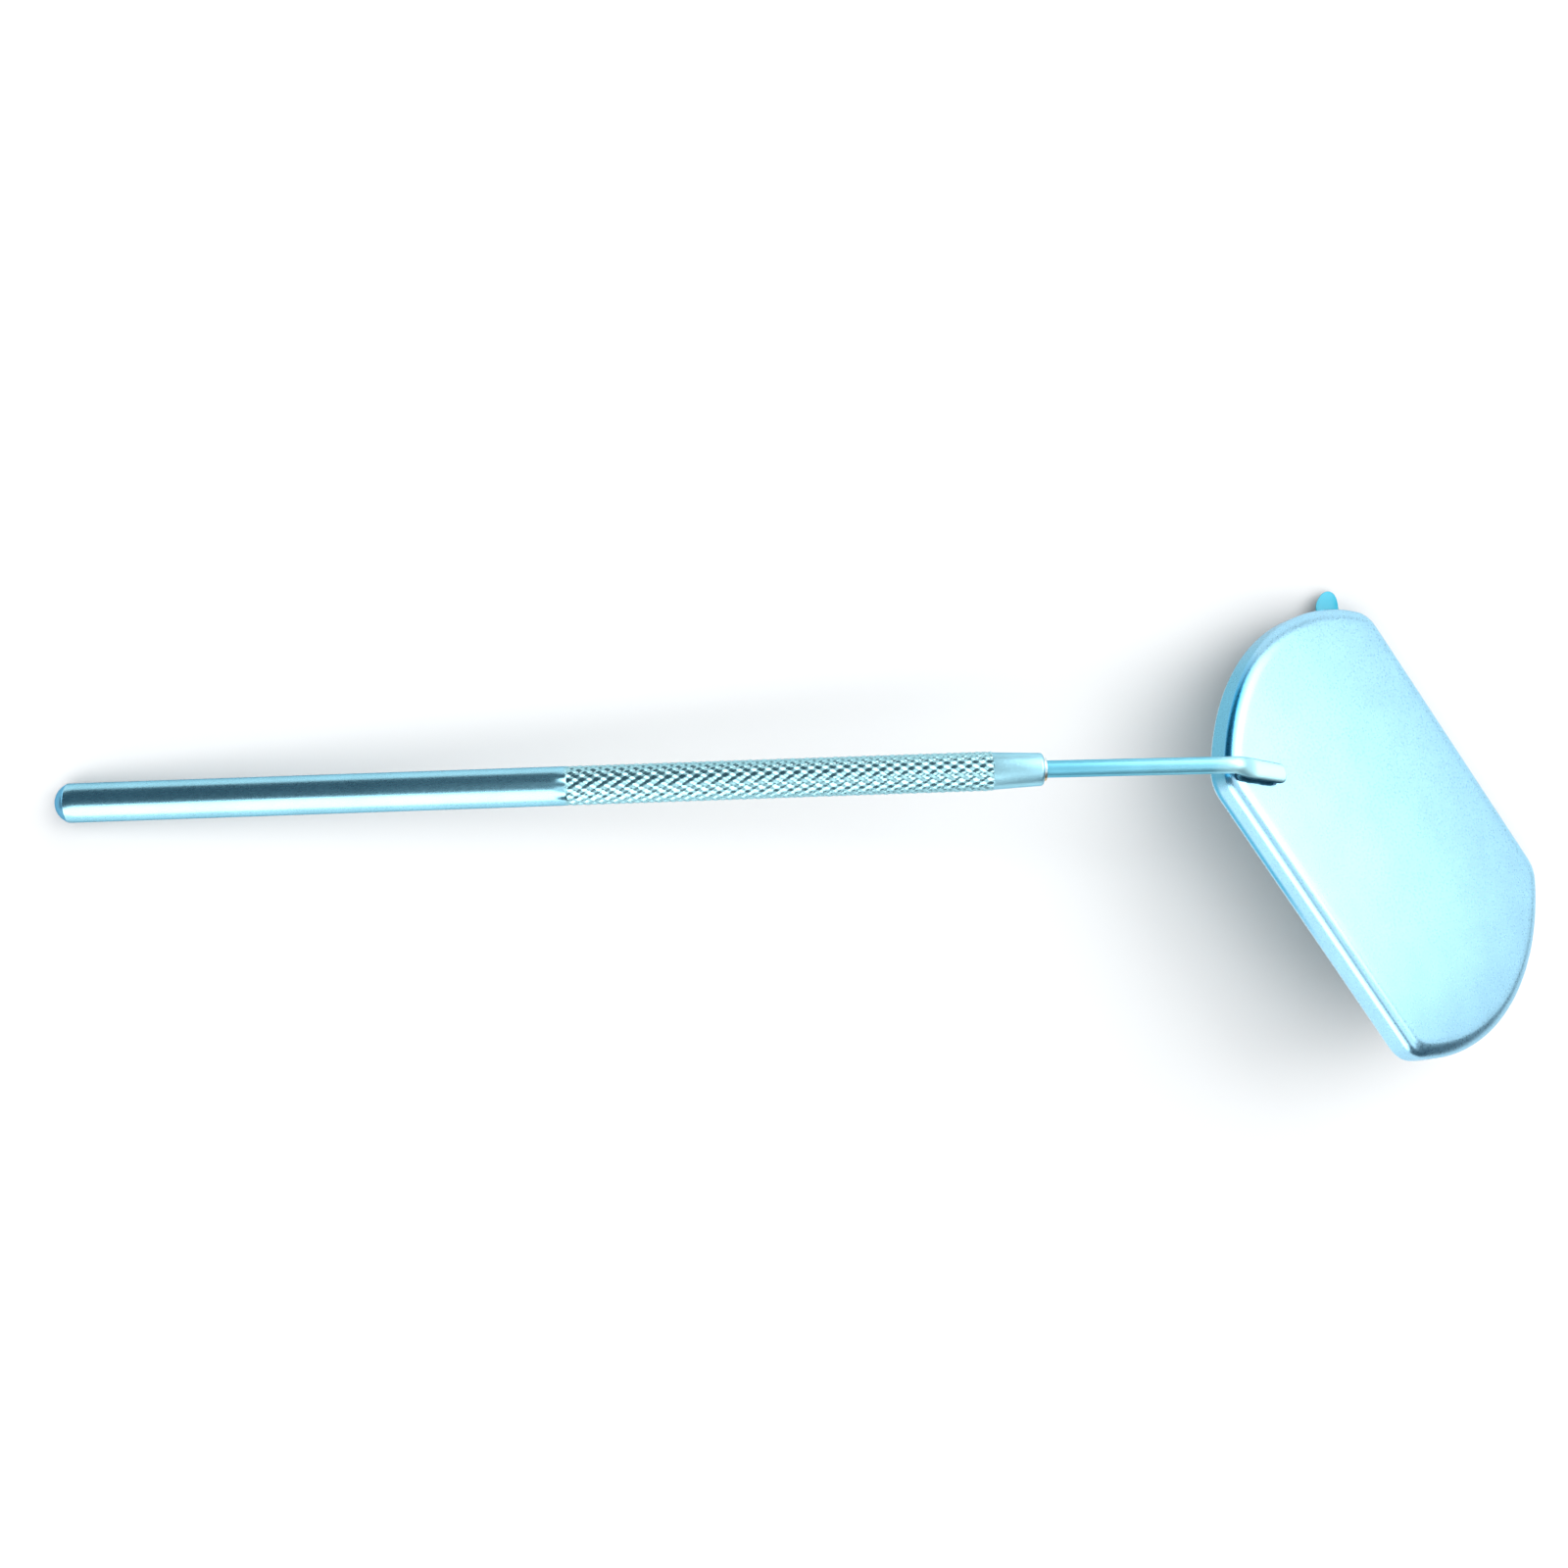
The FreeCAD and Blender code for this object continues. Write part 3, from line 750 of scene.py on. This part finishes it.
class Shading:
    """A node material being built: one Principled shader and short calls for its textures."""

    def __init__(self, name, **values):
        self.material = bpy.data.materials.new(name)
        self.material.use_nodes = True
        self.nodes = self.material.node_tree.nodes
        self.links = self.material.node_tree.links
        self.shader = self.nodes["Principled BSDF"]
        for socket, value in values.items():
            self.shader.inputs[socket.replace("_", " ")].default_value = value
        self.place = self.nodes.new("ShaderNodeTexCoord").outputs["Object"]

    def link(self, output, node, socket):
        """Joins an output to a socket. A socket that has a link already gives it up."""
        self.links.new(output, node.inputs[socket])

    def noise(self, size_mm, detail=2.0, place=None):
        """Noise with features of about this size. Its output runs from about 0.25 to 0.75."""
        node = self.nodes.new("ShaderNodeTexNoise")
        node.inputs["Scale"].default_value = 1 / (size_mm * MM)
        node.inputs["Detail"].default_value = detail
        self.link(place or self.place, node, "Vector")
        return node.outputs["Fac"]

    def stretched(self, axis, squash):
        """The place, squashed along an axis, so that textures run long that way."""
        axis = Vector(axis).normalized()
        dot = self.nodes.new("ShaderNodeVectorMath")
        dot.operation = "DOT_PRODUCT"
        dot.inputs[1].default_value = axis
        self.link(self.place, dot, 0)
        part = self.nodes.new("ShaderNodeVectorMath")
        part.operation = "SCALE"
        part.inputs[0].default_value = axis * (squash - 1)
        self.link(dot.outputs["Value"], part, "Scale")
        total = self.nodes.new("ShaderNodeVectorMath")
        self.link(self.place, total, 0)
        self.link(part.outputs[0], total, 1)
        return total.outputs[0]

    def spread(self, factor, low, high, start=0.3, end=0.7):
        """Maps a factor from start..end to low..high."""
        node = self.nodes.new("ShaderNodeMapRange")
        node.inputs["From Min"].default_value = start
        node.inputs["From Max"].default_value = end
        node.inputs["To Min"].default_value = low
        node.inputs["To Max"].default_value = high
        self.link(factor, node, "Value")
        return node.outputs["Result"]

    def ramp(self, distance, origin, ends_mm, low=0, high=1):
        """Maps a distance in metres to low..high between two places in millimetres from the origin."""
        start, end = (origin + place * MM for place in ends_mm)
        return self.spread(distance, low, high, start, end)

    def blend(self, factor, one, two):
        """A colour between two colours, each a tuple or another node's output."""
        node = self.nodes.new("ShaderNodeMix")
        node.data_type = "RGBA"
        self.link(factor, node, "Factor")
        for socket, colour in (("A", one), ("B", two)):
            target = [s for s in node.inputs if s.name == socket and s.type == "RGBA"][0]
            if isinstance(colour, tuple):
                target.default_value = (*colour, 1)
            else:
                self.links.new(colour, target)
        return [s for s in node.outputs if s.type == "RGBA"][0]

    def bump(self, height, depth_mm, strength=1.0, under=None):
        """A normal from a height, laid over another bump's normal where one is given."""
        node = self.nodes.new("ShaderNodeBump")
        node.inputs["Strength"].default_value = strength
        node.inputs["Distance"].default_value = depth_mm * MM
        self.link(height, node, "Height")
        if under:
            self.link(under, node, "Normal")
        return node.outputs["Normal"]

    def along(self, axis, normal=False):
        """Distance in metres along an axis of the object, or the surface's own lean along it."""
        node = self.nodes.new("ShaderNodeVectorMath")
        node.operation = "DOT_PRODUCT"
        node.inputs[1].default_value = axis
        source = self.place.node.outputs["Normal"] if normal else self.place
        self.link(source, node, 0)
        return node.outputs["Value"]

    def product(self, one, two):
        """One factor times another."""
        node = self.nodes.new("ShaderNodeMath")
        node.operation = "MULTIPLY"
        self.link(one, node, 0)
        self.link(two, node, 1)
        return node.outputs["Value"]

    def recolour(self, factor, colour):
        """Mixes another colour over the base colour made so far."""
        coat = self.shader.inputs["Base Color"].links[0].from_socket
        self.set("Base Color", self.blend(factor, coat, colour))

    def pointiness(self):
        """How far the mesh bulges at a place: above 0.5 on crests, below it in pits."""
        return self.nodes.new("ShaderNodeNewGeometry").outputs["Pointiness"]

    def set(self, socket, output):
        """Gives one of the shader's sockets its value from an output."""
        self.link(output, self.shader, socket)


def tinted_metal(name, tint, roughness, grain_mm=0.22, grain_depth=0.002, mottle=0.06, speckle=0.015,
                 axis=None, edge=EDGE_TINT):
    """Metal under a thin metallic coat: fine grain, which can run along an axis, and slow patches of tone.

    mottle is how far the patches go from the tint, and speckle how far the grain takes the roughness.
    """
    shading = Shading(name, Metallic=1.0, Specular_Tint=edge)
    place = shading.stretched(axis, 0.3) if axis else shading.place
    grain = shading.noise(grain_mm, 3.0, place)
    patches = shading.noise(6.0)
    pale = tuple(min(1.0, c * (1 + mottle)) for c in tint)
    deep = tuple(c * (1 - mottle) for c in tint)
    base = shading.blend(shading.spread(patches, 0, 1), deep, pale)
    sparkle = tuple(min(1.0, c * 1.1 + 0.02) for c in tint)
    colour = shading.blend(shading.spread(grain, 0, 0.45, 0.5, 0.75), base, sparkle)
    shading.set("Base Color", colour)
    shading.set("Roughness", shading.spread(grain, roughness - speckle, roughness + speckle))
    shading.set("Normal", shading.bump(grain, grain_depth))
    return shading


def tube_material():
    """Satin ice-blue coat, drawn lengthwise and greener on the grip, with painted shade in the pits and
    crests paler from wear and a painted highlight.
    """
    axis, tip = axis_of(HANDLE, 0)
    shading = tinted_metal("tube_coat", TUBE_TINT, 0.28, grain_depth=0.0003, axis=axis, edge=TUBE_EDGE_TINT)
    grip_start = tip + KNURL_START * MM
    on_grip = shading.ramp(shading.along(axis), grip_start, (-GRIP_BLUR, GRIP_BLUR))
    shading.recolour(on_grip, GRIP_TINT)
    # painted highlight with some wear on the knurl's crests, and painted shade in its pits
    crests = shading.spread(shading.pointiness(), 0, 0.5, 0.52, 0.6)
    shading.recolour(crests, CREST_WEAR_HIGHLIGHT_TINT)
    pits = shading.spread(shading.pointiness(), 0.8, 0, 0.4, 0.48)
    shading.recolour(pits, PIT_SHADE_TINT)
    return shading.material


def cone_material():
    """The same coat, rougher and more mottled."""
    return tinted_metal("nose_coat", CONE_TINT, 0.39, grain_mm=0.35, grain_depth=0.02, mottle=0.14).material


def stem_material():
    """Blue coat, deepest by the nose; matt on the flattened end, with a painted highlight in pale there and
    painted shade on its lower sides.
    """
    shading = tinted_metal(
        "stem_coat", STEM_TINT, 0.38, grain_mm=0.35, grain_depth=0.004, mottle=0.08, edge=STEM_EDGE_TINT
    )
    forward, bend = axis_of(BLADE, 0)
    along = shading.along(forward)
    by_nose = shading.ramp(along, bend, NECK_TONE, 0.85, 0)
    shading.recolour(by_nose, NECK_TINT)
    # painted highlight: the flattened end pale, and matt
    over_head = shading.ramp(along, bend, BLADE_HIGHLIGHT_SPAN)
    shading.recolour(over_head, BLADE_HIGHLIGHT_TINT)
    shading.set("Roughness", shading.spread(over_head, 0.36, 0.5, 0, 1))
    # painted shade on the blade's lower sides, next to the head's back, with a ragged edge
    up, level = axis_of(BLADE, 2)
    underside = level + (HEAD_DEPTH + BLADE_LIFT) * MM
    low = shading.ramp(shading.along(up), underside, LOW_SHADE_TOP, 1, 0)
    past_bend = shading.ramp(along, bend, (-BEND_TANGENT, 0))
    ragged = shading.spread(shading.noise(0.7), 0.75, 1)
    painted_low_shade = shading.product(shading.product(low, past_bend), ragged)
    shading.recolour(painted_low_shade, LOW_SHADE_TINT)
    return shading.material


def head_direction(degrees):
    """A direction in the plane of the head, as an axis of the row frame, and the head's place along it."""
    angle = math.radians(degrees)
    direction = (HEAD.to_3x3() @ Vector((math.cos(angle), math.sin(angle), 0))).normalized()
    return direction, direction.dot(HEAD.translation)


def shell_material():
    """Pale satin coat: painted shade in deep blue on the edge by the stem, a painted reflection as a blue
    line along one side, and a paler rolled rim where it faces the mirror side.
    """
    shading = tinted_metal(
        "shell_coat", SHELL_TINT, 0.29, grain_mm=0.35, grain_depth=0.0016, mottle=0.04, speckle=0.03,
        edge=SHELL_EDGE_TINT
    )
    back, rim_plane = axis_of(HEAD, 2)
    height = shading.along(back)
    faces_back = shading.along(back, normal=True)

    # painted shade: deep blue on the wall and on the bend by the stem
    stem_end = head_direction(190)[0]
    faces_end = shading.spread(shading.along(stem_end, normal=True), 0, 1, 0.36, 0.68)
    stem_corner, middle = head_direction(220)
    reach = shading.along(stem_corner)
    upright = shading.spread(faces_back, 1, 0.2, 0.05, 0.35)
    wall_reach = shading.ramp(reach, middle, WALL_SHADE_SPAN)
    wall = shading.product(shading.product(faces_end, wall_reach), upright)
    shading.recolour(wall, SHELL_WALL_SHADE_TINT)
    leaning = shading.spread(faces_back, 0, 1, 0.05, 0.35)
    bend_reach = shading.ramp(reach, middle, BEND_SHADE_SPAN)
    bend = shading.product(shading.product(faces_end, bend_reach), leaning)
    shading.recolour(bend, SHELL_BEND_SHADE_TINT)

    rolled_rim = shading.spread(faces_back, 0, 0.75, -0.05, -0.45)
    shading.recolour(rolled_rim, SHELL_RIM_TINT)

    # painted reflection: a blue line low on one side, fading out along the head
    above_rim = shading.ramp(height, rim_plane, LINE_FOOT)
    below_edge = shading.ramp(height, rim_plane, LINE_TOP, 1, 0)
    long_axis, middle = axis_of(HEAD, 0)
    near_stem = shading.ramp(shading.along(long_axis), middle, LINE_FADE, 1, 0)
    stem_side = head_direction(270)[0]
    faces_side = shading.spread(shading.along(stem_side, normal=True), 0, 1, 0.6, 0.95)
    line = shading.product(shading.product(above_rim, below_edge), near_stem)
    shading.recolour(shading.product(line, faces_side), SHELL_LINE_REFLECTION_TINT)
    return shading.material


def cap_material():
    """The same coat, painted deeper blue: painted shade for the dark reflections on the dome."""
    return tinted_metal("cap_coat", CAP_SHADE_TINT, 0.3).material


def braze_material():
    """Filler metal, painted dark as the shade under the blade, with patchy tone."""
    return tinted_metal("braze_coat", BRAZE_SHADE_TINT, 0.42, grain_mm=0.3, grain_depth=0.02, mottle=0.3).material


def brass_material():
    """Brass with fine turning rings and a little tarnish, and a painted highlight in pale on one side."""
    shading = Shading("turned_brass", Metallic=1.0)
    handle_axis = axis_of(HANDLE, 0)[0]
    rings = shading.noise(0.05, 2.0, shading.stretched(handle_axis, 30))
    tarnish = shading.spread(shading.noise(0.8, 3.0), 0, 1)
    shading.set("Base Color", shading.blend(tarnish, BRASS_DULL, BRASS_BRIGHT))
    # painted highlight: one side of the ring pale
    side, middle = axis_of(HANDLE, 1)
    painted_highlight = shading.ramp(shading.along(side), middle, RING_HIGHLIGHT_SPAN)
    shading.recolour(painted_highlight, BRASS_HIGHLIGHT_TINT)
    shading.set("Roughness", shading.spread(rings, 0.2, 0.42))
    shading.set("Normal", shading.bump(rings, 0.003))
    return shading.material


def glass_material():
    """Clear float glass, with the faint green of its depth and a few dust specks."""
    shading = Shading("pane_glass", Metallic=0.0, Transmission_Weight=1.0, IOR=1.52)
    specks = shading.spread(shading.noise(0.5, 4.0), 0, 1, 0.66, 0.74)
    shading.set("Base Color", shading.blend(specks, GLASS_CLEAR, GLASS_DUST))
    shading.set("Roughness", shading.spread(specks, 0.01, 0.12, 0, 1))
    return shading.material


def silver_material():
    """Silvering with faint clouding."""
    shading = Shading("silvering", Metallic=1.0)
    cloud = shading.spread(shading.noise(9.0), 0, 1)
    shading.set("Base Color", shading.blend(cloud, SILVER_DIM, SILVER_BRIGHT))
    shading.set("Roughness", shading.spread(shading.noise(0.4, 3.0), 0.01, 0.03))
    return shading.material


def paint_material():
    """Matt grey backing paint."""
    shading = Shading("backing_coat", Metallic=0.0)
    grain = shading.noise(0.3, 4.0)
    shading.set("Base Color", shading.blend(shading.spread(grain, 0, 1), PAINT_DARK, PAINT_LIGHT))
    shading.set("Roughness", shading.spread(grain, 0.5, 0.7))
    shading.set("Normal", shading.bump(grain, 0.01))
    return shading.material


def foam_material():
    """White closed-cell foam tape."""
    shading = Shading("foam_tape", Metallic=0.0)
    cells = shading.nodes.new("ShaderNodeTexVoronoi")
    cells.inputs["Scale"].default_value = 1 / (0.25 * MM)
    shading.link(shading.place, cells, "Vector")
    tone = shading.spread(cells.outputs["Distance"], 0, 1, 0.1, 0.6)
    shading.set("Base Color", shading.blend(tone, FOAM_DARK, FOAM_LIGHT))
    shading.set("Roughness", shading.spread(tone, 0.9, 0.75, 0, 1))
    shading.set("Normal", shading.bump(cells.outputs["Distance"], 0.05))
    return shading.material


def film_material():
    """Clear blue film with faint ripples and a few small bubbles under it."""
    shading = Shading("blue_film", Metallic=0.0, Alpha=0.85, IOR=1.5)
    ripple = shading.noise(7.0)
    bubbles = shading.spread(shading.noise(1.4, 1.0), 0, 1, 0.68, 0.76)
    tone = shading.blend(shading.spread(ripple, 0, 1), FILM_DARK, FILM_LIGHT)
    shading.set("Base Color", shading.blend(bubbles, tone, FILM_BUBBLE))
    shading.set("Roughness", shading.spread(ripple, 0.18, 0.3))
    shading.set("Normal", shading.bump(ripple, 0.05, 0.6, shading.bump(bubbles, 0.03)))
    return shading.material


def floor_material():
    """Matt pale table top, with painted shade that greys it well outside the object."""
    shading = Shading("studio_floor", Metallic=0.0)
    tone = shading.noise(120.0)
    pale = shading.blend(shading.spread(tone, 0, 1), FLOOR_DARK, FLOOR_LIGHT)
    length = shading.nodes.new("ShaderNodeVectorMath")
    length.operation = "LENGTH"
    shading.link(shading.place, length, 0)
    # painted shade: the floor greys far from the object
    away = shading.spread(length.outputs["Value"], 0, 1, FLOOR_RADIUS, FLOOR_RADIUS + FLOOR_FADE)
    shading.set("Base Color", shading.blend(away, pale, FLOOR_FAR_SHADE))
    shading.set("Roughness", shading.spread(tone, 0.65, 0.75))
    return shading.material


def recoat(node, material):
    """Gives a CAD node that stays as it is a better finish."""
    for slot in frame["nodes"][node].material_slots:
        slot.material = material


# ---- stage, lights and camera ------------------------------------------------------------


def make_floor():
    """The pale surface that the object lies on."""
    bpy.ops.mesh.primitive_plane_add(size=FLOOR_SIZE)
    floor = bpy.context.object
    floor.name = "floor"
    floor.data.materials.append(floor_material())


def soft_light(name, place, width, height, radiance, mirrored=True):
    """A rectangular soft light of even brightness: upright where it stands well aside, or facing down.

    Where mirrored is false, it lights the scene but isn't reflected in the metal.
    """
    data = bpy.data.lights.new(name, "AREA")
    data.shape = "RECTANGLE"
    data.size, data.size_y = width, height
    data.energy = radiance * math.pi * width * height
    light = bpy.data.objects.new(name, data)
    light.location = place
    light.visible_glossy = mirrored
    level = Vector((place[0], place[1], 0))
    facing = level if level.length > place[2] / 2 else Vector((0, 0, 1))
    light.rotation_euler = facing.to_track_quat("Z", "Y").to_euler()
    bpy.context.scene.collection.objects.link(light)


def around(azimuth, distance, height):
    """A place at this azimuth from +X in degrees, at this level distance and height in metres."""
    angle = math.radians(azimuth)
    return (distance * math.cos(angle), distance * math.sin(angle), height)


def make_lights():
    """Boxes and panels round the object and over it, and a weak blue-grey surrounding."""
    soft_light("front_left_box", around(-126, 0.62, 0.71), width=0.78, height=1.34, radiance=2.75)
    soft_light("right_panel", around(44.8, 0.62, 0.602), width=1.02, height=1.0, radiance=2.8)
    soft_light("front_right_box", around(-35, 0.50, 0.72), width=0.34, height=0.48, radiance=1.7)
    soft_light("right_high_panel", (0.60, 0.12, 0.85), width=0.46, height=0.75, radiance=2.5)
    soft_light("middle_overhead", (0.09, 0.05, 0.86), width=0.56, height=0.90, radiance=0.9)
    soft_light("floor_fill", (0, 0, 1.2), width=1.6, height=1.6, radiance=3.0, mirrored=False)
    world = bpy.data.worlds.new("studio")
    world.use_nodes = True
    background = world.node_tree.nodes["Background"]
    background.inputs["Color"].default_value = WORLD_COLOUR
    background.inputs["Strength"].default_value = 1.0
    bpy.context.scene.world = world


def make_camera():
    """A camera at CAMERA_PLACE that looks at CAMERA_TARGET."""
    data = bpy.data.cameras.new("camera")
    data.lens = CAMERA_LENS
    data.clip_start, data.clip_end = 0.01, 20
    camera = bpy.data.objects.new("camera", data)
    back = (CAMERA_PLACE - CAMERA_TARGET).normalized()
    right = CAMERA_UP.cross(back).normalized()
    rotation = Matrix((right, back.cross(right), back)).transposed()
    camera.matrix_world = Matrix.Translation(CAMERA_PLACE) @ rotation.to_4x4()
    bpy.context.scene.collection.objects.link(camera)
    bpy.context.scene.camera = camera


def main():
    """Makes the stage and every visual piece, and recoats the CAD nodes that stay."""
    make_camera()
    make_floor()
    make_lights()
    bpy.context.scene.view_settings.view_transform = "Standard"
    make_tube(tube_material())
    make_cap(cap_material())
    make_nose(cone_material())
    make_ring(brass_material())
    make_stem(stem_material())
    make_braze(braze_material())
    make_shell(shell_material())
    make_film(film_material())
    recoat("mirror_glass", glass_material())
    recoat("silver_layer", silver_material())
    recoat("backing_paint", paint_material())
    recoat("adhesive_pad", foam_material())


main()
